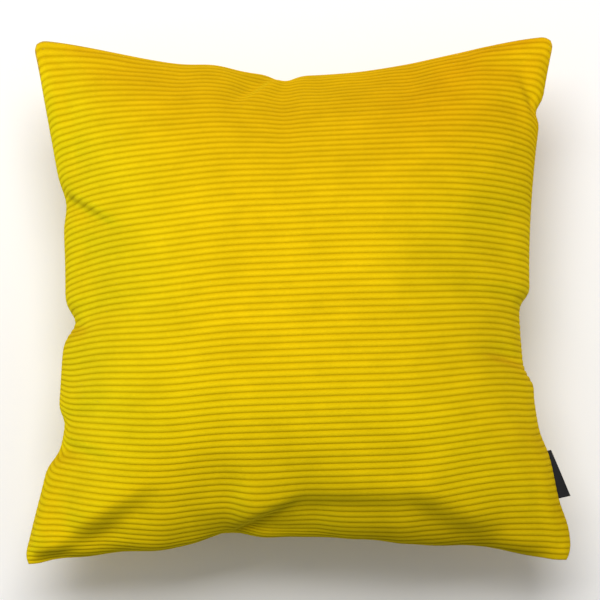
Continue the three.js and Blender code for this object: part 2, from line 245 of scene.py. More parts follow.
def grid_object(name, grid, face):
    ids = np.arange(grid.shape[0] * grid.shape[1]).reshape(grid.shape[:2])
    return new_object(name, grid.reshape(-1, 3), quads(ids, face).tolist())


def shade_smooth(piece):
    piece.data.polygons.foreach_set("use_smooth", [True] * len(piece.data.polygons))


def envelope(grids):
    """One closed mesh of the two grids, sewn along their common border."""
    n = len(grids[FRONT]) - 1
    front = np.arange((n + 1) ** 2).reshape(n + 1, n + 1)
    back = front.copy()
    back[1:n, 1:n] = (n + 1) ** 2 + np.arange((n - 1) ** 2).reshape(n - 1, n - 1)
    points = np.concatenate([grids[FRONT].reshape(-1, 3), grids[BACK][1:n, 1:n].reshape(-1, 3)])
    faces = np.concatenate([quads(front, FRONT), quads(back, BACK)])
    return points, faces, {FRONT: front, BACK: back}


# ---- the cloth simulation ----

SIM_FRAMES = 24
CLOTH_SETTINGS = {
    "quality": 6, "mass": 0.35, "air_damping": 4,
    "tension_stiffness": 25, "tension_damping": 20,
    "compression_stiffness": 10, "compression_damping": 20,
    "shear_stiffness": 8, "shear_damping": 20,
    "bending_stiffness": 4, "bending_damping": 4,
    "use_pressure": True, "uniform_pressure_force": 3.0,  # the filling
    "vertex_group_mass": "seam",  # these points are held
    "shrink_min": -0.018,  # the cloth is this much longer than the first shape
}


def settle(grids):
    """Lets the cloth find its own shape over the filling, with its seam held on the seam line."""
    points, faces, ids = envelope(grids)
    cloth = new_object("cloth_study", points, faces.tolist())
    held = cloth.vertex_groups.new(name="seam")
    rim = {int(i) for i in np.concatenate([ids[FRONT][0], ids[FRONT][-1],
                                           ids[FRONT][:, 0], ids[FRONT][:, -1]])}
    held.add(sorted(rim), 1.0, "REPLACE")

    modifier = cloth.modifiers.new("Cloth", "CLOTH")
    for key, value in CLOTH_SETTINGS.items():
        setattr(modifier.settings, key, value)
    modifier.settings.effector_weights.gravity = 0
    modifier.collision_settings.use_collision = False
    modifier.collision_settings.use_self_collision = False
    modifier.point_cache.frame_start = 1
    modifier.point_cache.frame_end = SIM_FRAMES
    scene = bpy.context.scene
    for step in range(1, SIM_FRAMES + 1):
        scene.frame_set(step)
    seen = cloth.evaluated_get(bpy.context.evaluated_depsgraph_get()).data
    found = np.empty(len(points) * 3, np.float32)
    seen.vertices.foreach_get("co", found)
    found = found.reshape(-1, 3).astype(float)
    scene.frame_set(1)
    mesh = cloth.data
    bpy.data.objects.remove(cloth)
    bpy.data.meshes.remove(mesh)
    return {face: found[ids[face]] for face in grids}


# ---- finishing the cloth's shape ----

SMOOTHING = 0.6  # how far one pass moves a point to its neighbours
GENTLE_PASSES = 70  # what is left is the large change of shape
PUCKER_PASSES = 3
PUCKERED = (0.62, 0.92)  # where puckers fade in, as shares of the way out
PUCKERS = 0.6  # how much of them is kept
RIB_PASSES = 60  # over how many columns ribs share their places


def smoothed(grid, passes):
    """Takes the finest ripples out, with the border held."""
    grid = grid.copy()
    for _ in range(passes):
        inner = grid[1:-1, 1:-1]
        beside = (grid[:-2, 1:-1] + grid[2:, 1:-1] + grid[1:-1, :-2] + grid[1:-1, 2:]) / 4
        grid[1:-1, 1:-1] = inner + SMOOTHING * (beside - inner)
    return grid


def settled(first, found):
    """Keeps the cloth's large change of shape, and its puckers only near the seam, where they start."""
    change = found - first
    gentle = smoothed(change, GENTLE_PASSES)
    side = np.abs(np.linspace(-1, 1, len(first)))
    near = smooth(np.maximum(side[:, None], side[None, :]), *PUCKERED)
    return first + gentle + (near * PUCKERS)[..., None] * (smoothed(change, PUCKER_PASSES) - gentle)


def run_on(values):
    """Adds one value before the first and one after the last, in line with them."""
    return np.concatenate([2 * values[:1] - values[1:2], values, 2 * values[-1:] - values[-2:-1]])


def between(a, b, c, d, t):
    """A smooth curve from b to c, for t from 0 to 1, with a before it and d after it."""
    return b + 0.5 * t * (c - a + t * (2 * a - 5 * b + 4 * c - d + t * (3 * (b - c) + d - a)))


def spline(values, at):
    """Reads values, given at whole numbers along the first axis, on a smooth curve at other places."""
    padded = run_on(values)
    i = np.clip(np.floor(at).astype(int), 0, len(values) - 2)
    t = (at - i).reshape(-1, *[1] * (values.ndim - 1))
    return between(*(padded[i + k] for k in range(4)), t)


def spline_rows(grid, rows):
    """Like spline along the second axis, with its own places for each column."""
    padded = run_on(grid.swapaxes(0, 1)).swapaxes(0, 1)
    i = np.clip(np.floor(rows).astype(int), 0, grid.shape[1] - 2)
    t = (rows - i)[..., None]
    column = np.arange(len(grid))[:, None]
    return between(*(padded[column, i + k] for k in range(4)), t)


def resampled(grid, columns, rows):
    return spline(spline(grid, columns).swapaxes(0, 1), rows).swapaxes(0, 1)


def normals(grid, face):
    across, along = np.gradient(grid, axis=0), np.gradient(grid, axis=1)
    return unit(face * np.cross(across, along))


def evened(grid):
    """Spreads the cloth evenly from the zip side to the top side, as its own length asks."""
    rows = np.arange(grid.shape[1])
    places = np.stack([np.interp(rows / rows[-1] * total[-1], total, rows) for total in lengths(grid)])
    # a rib runs straight past a tuck, so its neighbours share their places
    for _ in range(RIB_PASSES):
        padded = np.pad(places, ((1, 1), (0, 0)), mode="edge")
        places = (padded[:-2] + padded[1:-1] + padded[2:]) / 3
    return spline_rows(grid, places)


# the lower wall's belly: places are in mm, or in shares of the way up the panel
BELLY = (0, 172)  # its middle on X and its half width
NOTCH = (-52, 15)  # the tuck where it hardly bellies
NOTCH_UP = 0.3  # how much of the rise the tuck takes away
BELLY_OUT = (5.8 * MM, 0.03)  # towards the zip side: how far, and where most
BELLY_UP = (10 * MM, 0.06)  # and out of the surface, a little further in
BACK_BELLY = 0.5  # the back panel's share of it
SLACK = (-190, -125, 38, 65, 0.35)  # the ear with little filling: X, Y, widths, share


def bellied(grid, face):
    """The lower wall hangs out over the zip, and the ear at its left end lies flatter."""
    rows = np.linspace(0, 1, grid.shape[1])[None, :]
    x, y = grid[..., 0] / MM, grid[..., 1] / MM
    notch = bell(x, *NOTCH)
    share = bell(x, *BELLY, power=4) * (1.0 if face == FRONT else BACK_BELLY)
    low, high = rows / BELLY_OUT[1], rows / BELLY_UP[1]
    out = (share - notch * share) * BELLY_OUT[0] * low * np.exp(1 - low)
    up = (share - NOTCH_UP * notch * share) * BELLY_UP[0] * high * np.exp((1 - high ** 2) / 2)
    grid = grid + up[..., None] * normals(grid, face)
    grid[..., 1] -= out
    at_x, at_y, wide_x, wide_y, slack = SLACK
    flat = slack * bell(x, at_x, wide_x) * bell(y, at_y, wide_y)
    grid[..., 2] -= flat * (grid[..., 2] - SEAM_Z)
    return grid


# folds, in mm: (from), (to), rise on its left, fall on its right, the width of each, and half the
# width of the step between
FOLDS = {
    FRONT: [
        ((-197, -208), (-103, -150), 9, 2.5, 34, 20, 8),
        ((-62, -190), (4, -162), 5, 6, 26, 22, 3.5),
        ((0, -163), (110, -166), 2, 2, 20, 16, 6),
        ((84, -160), (165, -202), 4.5, 3, 30, 22, 10),
        ((-190, 88), (-137, 48), 2, 4, 14, 11, 3.5),
        ((-186, -16), (-158, -26), 0, 3.5, 14, 9, 3),
        ((-188, -112), (-140, -130), 2, 2.5, 16, 14, 4),
        ((184, -60), (142, -54), 1.5, 4, 12, 11, 3),
        ((194, 140), (181, 176), 1, 3.5, 12, 12, 3),
        ((-12, 180), (-48, 142), 3, 4, 14, 14, 4),
    ],
    BACK: [
        ((-180, -190), (-120, -120), 4, 5, 26, 24, 6),
        ((185, -190), (130, -130), 4, 4, 22, 20, 6),
        ((185, 190), (120, 150), 3, 5, 24, 20, 6),
        ((-188, 180), (-130, 130), 3, 4, 22, 20, 6),
    ],
}
FOLD_IN = (-12, 18)  # a fold fades in over this stretch, in mm
FOLD_OUT = (0.45, 1.15)  # and out over this one, in shares of its length
SEAM_HOLD = 0.03  # it leaves the seam alone, by a share of a side
# and it eases off near the zip, so that the tapes stay covered: on X, on Y and above the seam
ZIP_ENDS = (165, 185)
ZIP_WALL = (-178, -150)
ZIP_RISE = (3 * MM, 22 * MM)


def folded(grid, face):
    """Raises one side of each fold's line and sinks the other, with a steep step between."""
    x, y = grid[..., 0] / MM, grid[..., 1] / MM
    shift = np.zeros_like(x)
    for start, end, rise, fall, wide_up, wide_down, sharp in FOLDS[face]:
        length = math.dist(start, end)
        line_x, line_y = np.subtract(end, start) / length
        along = (x - start[0]) * line_x + (y - start[1]) * line_y
        off = (y - start[1]) * line_x - (x - start[0]) * line_y
        step = 0.5 + 0.5 * np.tanh(off / sharp)
        taper = smooth(along, *FOLD_IN) * (1 - smooth(along / length, *FOLD_OUT))
        shift += taper * (rise * step * bell(off, 0, wide_up) - fall * (1 - step) * bell(off, 0, wide_down))
    side = np.linspace(0, 1, len(grid))
    inside = smooth(side, 0, SEAM_HOLD) * smooth(1 - side, 0, SEAM_HOLD)
    beside_zip = (1 - smooth(np.abs(x), *ZIP_ENDS)) * (1 - smooth(y, *ZIP_WALL))
    eased = 1 - beside_zip * (1 - smooth(np.abs(grid[..., 2] - SEAM_Z), *ZIP_RISE))
    shift *= inside[:, None] * inside[None, :] * eased * MM
    return grid + shift[..., None] * normals(grid, face)


FLOOR_BEND = 3 * MM  # how softly the back panel meets the floor


def settle_on_floor(grid, floor):
    """The back panel lies flat where it would hang below the floor."""
    above = grid[..., 2] - floor
    grid[..., 2] = floor + (above + np.sqrt(above ** 2 + FLOOR_BEND ** 2)) / 2
    return grid


def cloth_shape():
    """The finished front and back surfaces, at the bottom of the ribs."""
    grids = first_shape()
    found = settle(grids)
    grids = {face: settled(grids[face], found[face]) for face in grids}
    cells = np.linspace(0, GRID, GRID * FINE + 1)
    surfaces = {}
    for face, grid in grids.items():
        grid = smoothed(evened(bellied(grid, face)), 1)
        crown = abs(grid[GRID // 2, GRID // 2, 2] - SEAM_Z)
        if face == FRONT:
            grid[..., 2] = SEAM_Z + (grid[..., 2] - SEAM_Z) * (CROWN - RIB_HEIGHT) / crown
        grid = folded(resampled(grid, cells, cells), face)
        if face == BACK:
            grid = settle_on_floor(grid, RIB_HEIGHT)
        surfaces[face] = grid
    return surfaces


HAIR = (0.35 * MM, 1.0 * MM)  # at the seam, and how much more just inside it
HAIR_IN = (0, 0.03)  # where that grows, as shares of the way in
HAIR_OUT = (0.05, 0.14)  # and where both are gone
SLOT_GAP = 4.6 * MM  # from the seam plane to each folded edge
LIP_GAP = 2.4 * MM  # and where the edges stand out past the zip
LIPS = (2 * MM, 10 * MM)  # how far out that is
SLOT_ENDS = (SLOT_HALF - 9 * MM, SLOT_HALF + 20 * MM)
SLOT_WALL = (-1, -0.86)  # the slot fades over this stretch up the panel


def opened_for_zip(grid, face):
    """Parts the two panels at the seam: by a hair all round, and by the slot along the zip."""
    grid = grid.copy()
    side = np.linspace(-1, 1, len(grid))
    edge = np.minimum(1 - np.abs(side)[:, None], 1 - np.abs(side)[None, :])
    hair = (HAIR[0] + HAIR[1] * smooth(edge, *HAIR_IN)) * (1 - smooth(edge, *HAIR_OUT))
    grid[..., 2] += face * hair
    slot = 1 - smooth(np.abs(grid[:, :1, 0]), *SLOT_ENDS)
    near = 1 - smooth(side[None, :], *SLOT_WALL)
    lips = smooth(coil_low.y - grid[:, :1, 1], *LIPS)
    wanted = face * (SLOT_GAP + (LIP_GAP - SLOT_GAP) * lips) - (grid[:, :1, 2] - SEAM_Z)
    grid[..., 2] += slot * near * wanted
    return grid


# ---- the corduroy panels ----

def set_attribute(piece, name, values):
    values = np.asarray(values, np.float32)
    kind, field = ("FLOAT_VECTOR", "vector") if values.ndim > 1 else ("FLOAT", "value")
    piece.data.attributes.new(name, kind, "POINT").data.foreach_set(field, values.ravel())


def rib_profile(phases):
    return 1 - np.abs(2 * phases - 1) ** 2.6


def rib_tone_and_shade_profile(phases):
    """Each rib's colour from groove to groove: darker at the grooves, partly their own colour and partly
    painted shade, and lightest a little below its middle, towards the zip side, as painted light and shade
    across the rib.
    """
    return np.sin(math.pi * phases ** 0.82)


def rib_climb(across, up):
    """How far the ribs stand above straight lines, at places on the cloth: (columns, rows)."""
    across, up = across[:, None], up[None, :]
    middle, right = across - CLOTH / 2, across - CLOTH
    arch, arch_width = RIB_ARCH
    climb = RIB_TURN * middle - arch * (1 - bell(middle, 0, arch_width))
    height, place, width = RIB_UPTURN
    beside = (UPTURN_LEFT[0] * np.exp(-across / UPTURN_LEFT[1])
              + UPTURN_RIGHT[0] * np.exp(right / UPTURN_RIGHT[1]))
    climb = climb + height * beside * bell(up, place, width)
    depth, place, width = RIB_SAG
    start, deepest, end = SAG_ENDS
    sagging = smooth(across, start, deepest) * (1 - smooth(across, deepest, end))
    climb = climb - depth * sagging * bell(up, place, width)
    depth, place, width, reach = RIB_EAR
    climb = climb - depth * np.exp(right / reach) * bell(up, place, width)
    return climb * (1 - np.abs(2 * up / CLOTH - 1) ** STRAIGHT_EDGE)


def corduroy_panel(name, surface, face):
    """A panel with its ribs as geometry, and its edges turned in behind the seam."""
    last = len(surface) - 1
    phases = np.append(np.tile(RIB_PHASES, RIBS), 0.0)
    ribs = np.append(np.repeat(np.arange(RIBS), len(RIB_PHASES)), RIBS)
    up = (ribs + phases) * CLOTH / RIBS
    spread = np.linspace(COLUMN_MARGIN, CLOTH - COLUMN_MARGIN,
                         int((CLOTH - 2 * COLUMN_MARGIN) / COLUMN_PITCH) + 1)
    roll = np.array(SEAM_ROLL)
    across = np.concatenate([[0], roll, spread, CLOTH - roll[::-1], [CLOTH]])
    cells = last / CLOTH
    grid = spline_rows(spline(surface, across * cells), (up[None, :] + rib_climb(across, up)) * cells)
    normal = normals(grid, face)
    width, flattened = RIB_ENDS
    ends = smooth(np.minimum(across, CLOTH - across), 0, width)
    height = rib_profile(phases)[None, :] * (flattened + (1 - flattened) * ends)[:, None]
    grid = grid + RIB_HEIGHT * height[..., None] * normal

    # the allowances: copies of the outermost row or column, moved in behind the seam
    turned = np.array(ALLOWANCE)
    reach = len(turned)
    grid = np.pad(grid, ((reach, reach), (reach, reach), (0, 0)), mode="edge")
    # which way the cloth faces, for the painted light and shade in its colour
    shade_facing = np.pad(normal, ((reach, reach), (reach, reach), (0, 0)), mode="edge")
    # the rib's own tone with its painted light and shade, from groove to groove
    rib_tone_and_shade = np.pad(np.tile(rib_tone_and_shade_profile(phases), (len(across), 1)), reach)
    # it slides to the right and up, but back again at the far ends, so as to stay inside
    slide_x, slide_y = (1 - 2 * smooth(np.pad(places, reach, mode="edge"), CLOTH * 0.9, CLOTH)
                        for places in (across, up))
    for k, distance in enumerate(turned):
        for edge, inwards in ((reach - 1 - k, distance), (-reach + k, -distance)):
            grid[edge, :, 0] += inwards
            grid[edge, :, 1] += distance * ALLOWANCE_SLANT * slide_y
            grid[:, edge, 1] += inwards
            grid[:, edge, 0] += distance * ALLOWANCE_SLANT * slide_x
    across, up = (np.concatenate([-turned[::-1], places, CLOTH + turned]) for places in (across, up))

    piece = grid_object(name, grid, face)
    x, y = np.meshgrid(across, up, indexing="ij")
    set_attribute(piece, "rib_tone_and_shade", rib_tone_and_shade.ravel())
    set_attribute(piece, "shade_facing", shade_facing.reshape(-1, 3))
    set_attribute(piece, "cloth", np.stack([x, y, np.zeros_like(x)], axis=2).reshape(-1, 3))
    shade_smooth(piece)
    return piece


# ---- materials ----

class Nodes:
    """A material's node tree, with short calls to add to it."""

    def __init__(self, name, **values):
        self.material = bpy.data.materials.new(name)
        self.material.use_nodes = True
        self.tree = self.material.node_tree
        self.finish(**values)

    def add(self, kind, inputs=(), **settings):
        node = self.tree.nodes.new("ShaderNode" + kind)
        for key, value in settings.items():
            setattr(node, key, value)
        for key, value in dict(inputs).items():
            self.put(value, node.inputs[key])
        return node

    def put(self, value, socket):
        if isinstance(value, bpy.types.NodeSocket):
            self.tree.links.new(value, socket)
        else:
            socket.default_value = value

    def place(self):
        return self.add("TexCoord").outputs["Object"]

    def attribute(self, name, output):
        return self.add("Attribute", attribute_name=name).outputs[output]

    def stretched(self, vector, scale):
        return self.add("Mapping", {"Vector": vector, "Scale": scale}).outputs["Vector"]

    def parts(self, vector):
        return self.add("SeparateXYZ", {0: vector}).outputs

    def noise(self, vector, scale, detail=2.0, rough=0.5):
        node = self.add("TexNoise", {"Vector": vector, "Scale": scale, "Detail": detail, "Roughness": rough})
        return node.outputs["Fac"]

    def ramp(self, value, low, high, to_low=0.0, to_high=1.0):
        node = self.add("MapRange", {"Value": value, "From Min": low, "From Max": high,
                                     "To Min": to_low, "To Max": to_high})
        return node.outputs["Result"]

    def math(self, operation, a, b):
        return self.add("Math", {0: a, 1: b}, operation=operation).outputs[0]

    def mix(self, factor, a, b, kind="MIX"):
        node = self.add("Mix", data_type="RGBA", blend_type=kind)
        for socket, value in zip([s for s in node.inputs if s.enabled], (factor, a, b)):
            self.put(value, socket)
        return next(s for s in node.outputs if s.enabled)

    def tinted(self, factor, colour, tint):
        """The colour, and where the factor is 1 the colour times a tint."""
        return self.mix(factor, colour, self.mix(1.0, colour, (*tint, 1), "MULTIPLY"))

    def shaded(self, colour, value):
        """The colour times a grey value."""
        grey = self.add("CombineColor", {0: value, 1: value, 2: value}).outputs[0]
        return self.mix(1.0, colour, grey, "MULTIPLY")

    def bump(self, height, distance, strength, below=None):
        inputs = {"Height": height, "Distance": distance, "Strength": strength}
        if below:
            inputs["Normal"] = below
        return self.add("Bump", inputs).outputs["Normal"]

    def finish(self, **values):
        """Sets the shader's own inputs, or links them."""
        shader = self.tree.nodes["Principled BSDF"]
        for key, value in values.items():
            self.put(value, shader.inputs[key.replace("_", " ")])
        return self.material


# a groove's colour and a rib top's: the groove is darker partly by its own colour, partly as painted shade
RIB_GROOVE = (0.655, 0.425, 0.0006, 1)
RIB_TOP = (0.86, 0.59, 0.003, 1)

# painted light and shade: the cloth's colour turns with the way the cloth faces:
# (axis, where a tint begins, where it is full, the tint)
FACING_LIGHT_TINTS = (
    (1, 0.0, 0.55, (0.75, 0.65, 0.6)),  # painted shade, warmer and darker, facing the top side
    (1, -0.02, -0.2, (1.02, 1.08, 1.0)),  # painted light, fresher, facing the zip side
    (1, -0.38, -0.88, (0.60, 0.65, 0.9)),  # painted shade, deeper, on the steep wall over the zip
    (0, -0.1, -0.7, (0.98, 1.14, 1.5)),  # painted light, greener, facing left
    (0, 0.1, 0.6, (0.9, 0.94, 0.95)),  # painted shade, duller, facing right
)
# warmer and darker towards the upper right corner, and painted shade low on the right, where the cloth curves
# under:
# (from and to across the cloth, from and to up it, both in metres, and the tint)
PLACE_TINTS_AND_SHADE = (
    ((0.25, 0.36), (0.28, 0.37), (0.98, 0.88, 0.75)),
    ((0.24, 0.33), (0.10, 0.02), (0.80, 0.78, 0.8)),
)


def corduroy_material():
    m = Nodes("corduroy", Roughness=0.9, Specular_IOR_Level=0.03, Sheen_Weight=0.3,
              Sheen_Roughness=0.5, Sheen_Tint=(1.0, 0.75, 0.01, 1))
    rib_tone_and_shade = m.attribute("rib_tone_and_shade", "Fac")
    cloth = m.attribute("cloth", "Vector")
    along_rib = m.stretched(cloth, (0.35, 1.0, 1.0))
    brushed = m.noise(cloth, 26, 3.0, 0.55)
    patches = m.noise(along_rib, 90, 3.0, 0.6)
    hairs = m.noise(cloth, 2600, rough=0.6)
    tufts = m.noise(along_rib, 900, rough=0.6)
    # darker in the grooves, partly painted shade, and lightest below each rib's middle, as painted light
    colour = m.mix(m.ramp(rib_tone_and_shade, 0.25, 1.0), RIB_GROOVE, RIB_TOP)
    shade_facing = m.parts(m.attribute("shade_facing", "Vector"))
    # painted light and shade, by the way the cloth faces
    for axis, begins, full, tint in FACING_LIGHT_TINTS:
        colour = m.tinted(m.ramp(shade_facing[axis], begins, full), colour, tint)
    place = m.parts(cloth)
    # a tint at the upper right corner, and painted shade low on the right where the cloth curves under
    for across, up, tint in PLACE_TINTS_AND_SHADE:
        there = m.math("MULTIPLY", m.ramp(place[0], *across), m.ramp(place[1], *up))
        colour = m.tinted(there, colour, tint)
    value = 1.0
    for unevenness, depth in ((brushed, 0.05), (patches, 0.05), (hairs, 0.10), (tufts, 0.04)):
        value = m.math("ADD", m.ramp(unevenness, 0.3, 0.7, -depth, depth), value)
    fuzz = m.bump(hairs, 0.25 * MM, 0.7, below=m.bump(tufts, 0.25 * MM, 0.6))
    return m.finish(Base_Color=m.shaded(colour, value), Normal=fuzz)


def thread_material(name, colour):
    m = Nodes(name, Roughness=0.7, Specular_IOR_Level=0.25, Sheen_Weight=0.3)
    twist = m.noise(m.place(), 3200, rough=0.6)
    dark = tuple(0.72 * c for c in colour)
    return m.finish(Base_Color=m.mix(m.ramp(twist, 0.3, 0.7), (*dark, 1), (*colour, 1)),
                    Normal=m.bump(twist, 0.15 * MM, 0.8))


def woven_material(name, colour, fineness):
    """A plain weave of two crossing waves, with slight unevenness."""
    m = Nodes(name, Roughness=0.75, Specular_IOR_Level=0.2, Sheen_Weight=0.3)
    place = m.place()
    warp, weft = (m.add("TexWave", {"Vector": place, "Scale": fineness, "Distortion": 0.6, "Detail": 1.0},
                        bands_direction=direction).outputs["Fac"] for direction in ("X", "Y"))
    weave = m.math("MULTIPLY", warp, weft)
    cloudy = m.ramp(m.noise(place, 35, 3.0, 0.6), 0.3, 0.7, 0.94, 1.06)
    value = m.math("ADD", cloudy, m.ramp(weave, 0, 1, -0.08, 0.08))
    return m.finish(Base_Color=m.shaded((*colour, 1), value), Normal=m.bump(weave, 0.12 * MM, 0.6))


def metal_material():
    m = Nodes("satin_brass", Metallic=1.0, Roughness=0.34)
    place = m.place()
    brushed = m.noise(m.stretched(place, (0.15, 1, 1)), 6000, rough=0.6)
    worn = m.noise(place, 500, 3.0, 0.6)
    colour = m.mix(m.ramp(worn, 0.35, 0.65), (0.62, 0.43, 0.17, 1), (0.76, 0.56, 0.26, 1))
    return m.finish(Base_Color=colour, Roughness=m.ramp(worn, 0.3, 0.7, 0.26, 0.44),
                    Normal=m.bump(brushed, 0.04 * MM, 0.5))


def nylon_material():
    m = Nodes("zip_nylon", Roughness=0.38, Specular_IOR_Level=0.4, Subsurface_Weight=0.05)
    drawn = m.noise(m.place(), 1500)
    colour = m.mix(m.ramp(drawn, 0.35, 0.65), (0.66, 0.43, 0.02, 1), (0.78, 0.53, 0.035, 1))
    return m.finish(Base_Color=colour, Roughness=m.ramp(drawn, 0.3, 0.7, 0.3, 0.46))


def satin_material(name, colour, roughness):
    m = Nodes(name, Roughness=roughness, Specular_IOR_Level=0.2)
    place = m.place()
    floats = m.noise(m.stretched(place, (1, 0.12, 1)), 5200)
    soft = m.noise(place, 120)
    light = tuple(min(1.0, 1.5 * c + 0.004) for c in colour)
    return m.finish(Base_Color=m.mix(m.ramp(floats, 0.3, 0.7), (*colour, 1), (*light, 1)),
                    Roughness=m.ramp(soft, 0.3, 0.7, roughness - 0.05, roughness + 0.08),
                    Normal=m.bump(floats, 0.05 * MM, 0.7))


def fibre_material():
    m = Nodes("polyester_fibre", Roughness=0.95, Specular_IOR_Level=0.1, Sheen_Weight=0.6)
    strands = m.noise(m.place(), 900, 4.0, 0.7)
    return m.finish(Base_Color=m.mix(m.ramp(strands, 0.3, 0.7), (0.78, 0.77, 0.74, 1), (0.95, 0.95, 0.93, 1)),
                    Normal=m.bump(strands, 0.8 * MM, 0.9))


FINISHES = {
    "corduroy": corduroy_material(),
    "thread_yellow": thread_material("thread_yellow", (0.72, 0.46, 0.015)),
    "thread_white": thread_material("thread_white", (0.86, 0.84, 0.78)),
    "zip_tape": woven_material("zip_tape", (0.70, 0.45, 0.012), 120),
    "casing": woven_material("casing", (0.86, 0.84, 0.78), 90),
    "zip_metal": metal_material(),
    "zip_coil": nylon_material(),
    "ribbon_black": satin_material("ribbon_black", (0.003, 0.003, 0.004), 0.5),
    "ribbon_white": satin_material("ribbon_white", (0.84, 0.83, 0.79), 0.4),
    "fibre": fibre_material(),
}


def finished(piece, slot, node, body="cover"):
    """Gives a piece its material and, unless body is None, its body, and hides the CAD node that it stands
    for.
    """
    piece.data.materials.append(FINISHES[slot])
    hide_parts(node)
    if body:
        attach(piece, body)


# ---- the cover's panels, and the insert inside them ----

CASING_SHARE = 0.925  # a casing is the cover's surface, drawn in to this
CASING_GAP = 0.3 * MM  # from the seam plane to a casing
CASING_ROOM = 9 * MM  # from the zip's line to it
FILLING_SHARE = 0.885
FILLING_ROOM = 12 * MM
LUMPS = (0.012, 0.747, 0.639)  # the filling's lumps: share, and rates each way
RIBBON_PLY = 0.4 * MM
RIBBON_POINTS = 33


def make_cover(surfaces):
    for side, face in FACES:
        panel = corduroy_panel(f"{side}_panel", opened_for_zip(surfaces[face], face), face)
        finished(panel, "corduroy", f"cover_{side}_panel")


def shrunk(grid, share):
    """The same surface, drawn in towards the pillow's middle."""
    centre = np.array([0, 0, SEAM_Z])
    return centre + (grid - centre) * share


def clear_of_zip(grid, room):
    """Keeps the insert inside the zip's tapes, where the cover stands out past them."""
    grid = grid.copy()
    grid[..., 1] = np.maximum(grid[..., 1], ZIP_LINE + room)
    return grid


def patch(name, grid, face, columns, rows):
    """A ribbon that lies along part of a surface, given as shares across it."""
    last = len(grid) - 1
    places = [np.linspace(a, b, RIBBON_POINTS) * last for a, b in (columns, rows)]
    outside = resampled(grid, *places)
    inside = outside - RIBBON_PLY * normals(outside, face)
    points, faces, _ = envelope({FRONT: outside, BACK: inside})
    return new_object(name, points, (faces if face == FRONT else faces[:, ::-1]).tolist())


def make_insert(surfaces):
    for side, face in FACES:
        grid = clear_of_zip(shrunk(surfaces[face][::FINE, ::FINE], CASING_SHARE), CASING_ROOM)
        grid[..., 2] += face * CASING_GAP
        casing = grid_object(f"insert_{side}", grid, face)
        shade_smooth(casing)
        finished(casing, "casing", f"insert_{side}_casing")
    cells = np.arange(GRID + 1)
    depth, rate_x, rate_y = LUMPS
    lumps = 1 + depth * np.sin(cells * rate_x)[:, None] * np.sin(cells * rate_y + 1)[None, :]
    stuffing = {}
    for face in (FRONT, BACK):
        grid = clear_of_zip(shrunk(surfaces[face][::FINE, ::FINE], FILLING_SHARE), FILLING_ROOM)
        grid[..., 2] = SEAM_Z + (grid[..., 2] - SEAM_Z) * lumps
        stuffing[face] = grid
    points, faces, _ = envelope(stuffing)
    filling = new_object("insert_stuffing", points, faces.tolist())
    shade_smooth(filling)
    finished(filling, "fibre", "insert_filling")
    for name, node, face, share, columns, rows in (
            ("insert_side_ribbon", "insert_ribbon", FRONT, 0.945, (0.86, 0.95), (0.56, 0.62)),
            ("cover_care_ribbon", "care_ribbon", BACK, 0.96, (0.05, 0.2), (0.26, 0.36))):
        ribbon = patch(name, shrunk(surfaces[face], share), face, columns, rows)
        finished(ribbon, "ribbon_white", node)


# ---- threads ----

SEAM_INSET = 1.1 * MM  # from the seam line to the stitches
SEAM_STITCH = 3.0 * MM
OVERLOCK_INSET = 7.0 * MM
OVERLOCK_STEP = 0.8 * MM
OVERLOCK_SWING = (1.3 * MM, 0.7 * MM)  # in and out, and up and down
INSERT_STITCH = 3.2 * MM
INSERT_STITCH_SHARE = 0.915
INSERT_STITCH_ROOM = 10 * MM
SEWN_TO_ZIP = SLOT_HALF + 4 * MM  # the seam is sewn up to here
THREAD = 0.2 * MM  # a thread's radius
STRAND_ENDS = 0.5  # how far a strand narrows at its ends
# along a stitch: the share of its length, and how far it stands out there
STITCH_SHAPE = ((0.06, -0.6), (0.2, 0.5), (0.5, 1.0), (0.8, 0.5), (0.94, -0.6))


def seam_path(inset, spacing, all_round):
    """Points at even steps along the seam line, moved in by inset: anticlockwise from the zip."""
    shares = np.linspace(-1, 1, 361)
    border = seam_border(shares)
    bottom = border["bottom"]
    if all_round:
        ends = bottom[shares >= 0], bottom[shares < 0]
    else:
        ends = bottom[bottom[:, 0] > SEWN_TO_ZIP], bottom[bottom[:, 0] < -SEWN_TO_ZIP]
    line = np.concatenate([ends[0], border["right"][1:], border["top"][-2::-1],
                           border["left"][-2::-1], ends[1][1:]])
    along = unit(np.gradient(line, axis=0))
    line = line + inset * np.stack([-along[:, 1], along[:, 0], 0 * along[:, 0]], axis=1)
    total = lengths(line)
    even = np.arange(0, total[-1], spacing)
    return np.stack([np.interp(even, total, line[:, k]) for k in range(3)], axis=1)


def loft(name, rings):
    """Closed strands through rings of points: an array of (strand, ring, point, xyz)."""
    strands, count, sides = rings.shape[:3]
    ids = np.arange(strands * count * sides).reshape(strands, count, sides)
    following = np.roll(ids, -1, axis=2)
    walls = np.stack([ids[:, :-1], ids[:, 1:], following[:, 1:], following[:, :-1]], axis=3).reshape(-1, 4)
    caps = ids[:, 0].tolist() + ids[:, -1, ::-1].tolist()
    piece = new_object(name, rings.reshape(-1, 3), walls.tolist() + caps)
    shade_smooth(piece)
    return piece


def tubes(name, paths, radius, sides=6):
    """Round strands along paths, an array of (strand, point, xyz), drawn in a little at their ends."""
    paths = np.asarray(paths, float)
    along = unit(np.gradient(paths, axis=1))
    up = np.where(np.abs(along[..., 2:]) > 0.9, [[[1.0, 0, 0]]], [[[0, 0, 1.0]]])
    side = unit(np.cross(along, up))
    over = np.cross(side, along)
    size = np.full(paths.shape[1], radius)
    size[[0, -1]] *= STRAND_ENDS
    turn = np.arange(sides) * 2 * math.pi / sides
    ring = np.cos(turn)[:, None] * side[..., None, :] + np.sin(turn)[:, None] * over[..., None, :]
    return loft(name, paths[..., None, :] + size[:, None, None] * ring)


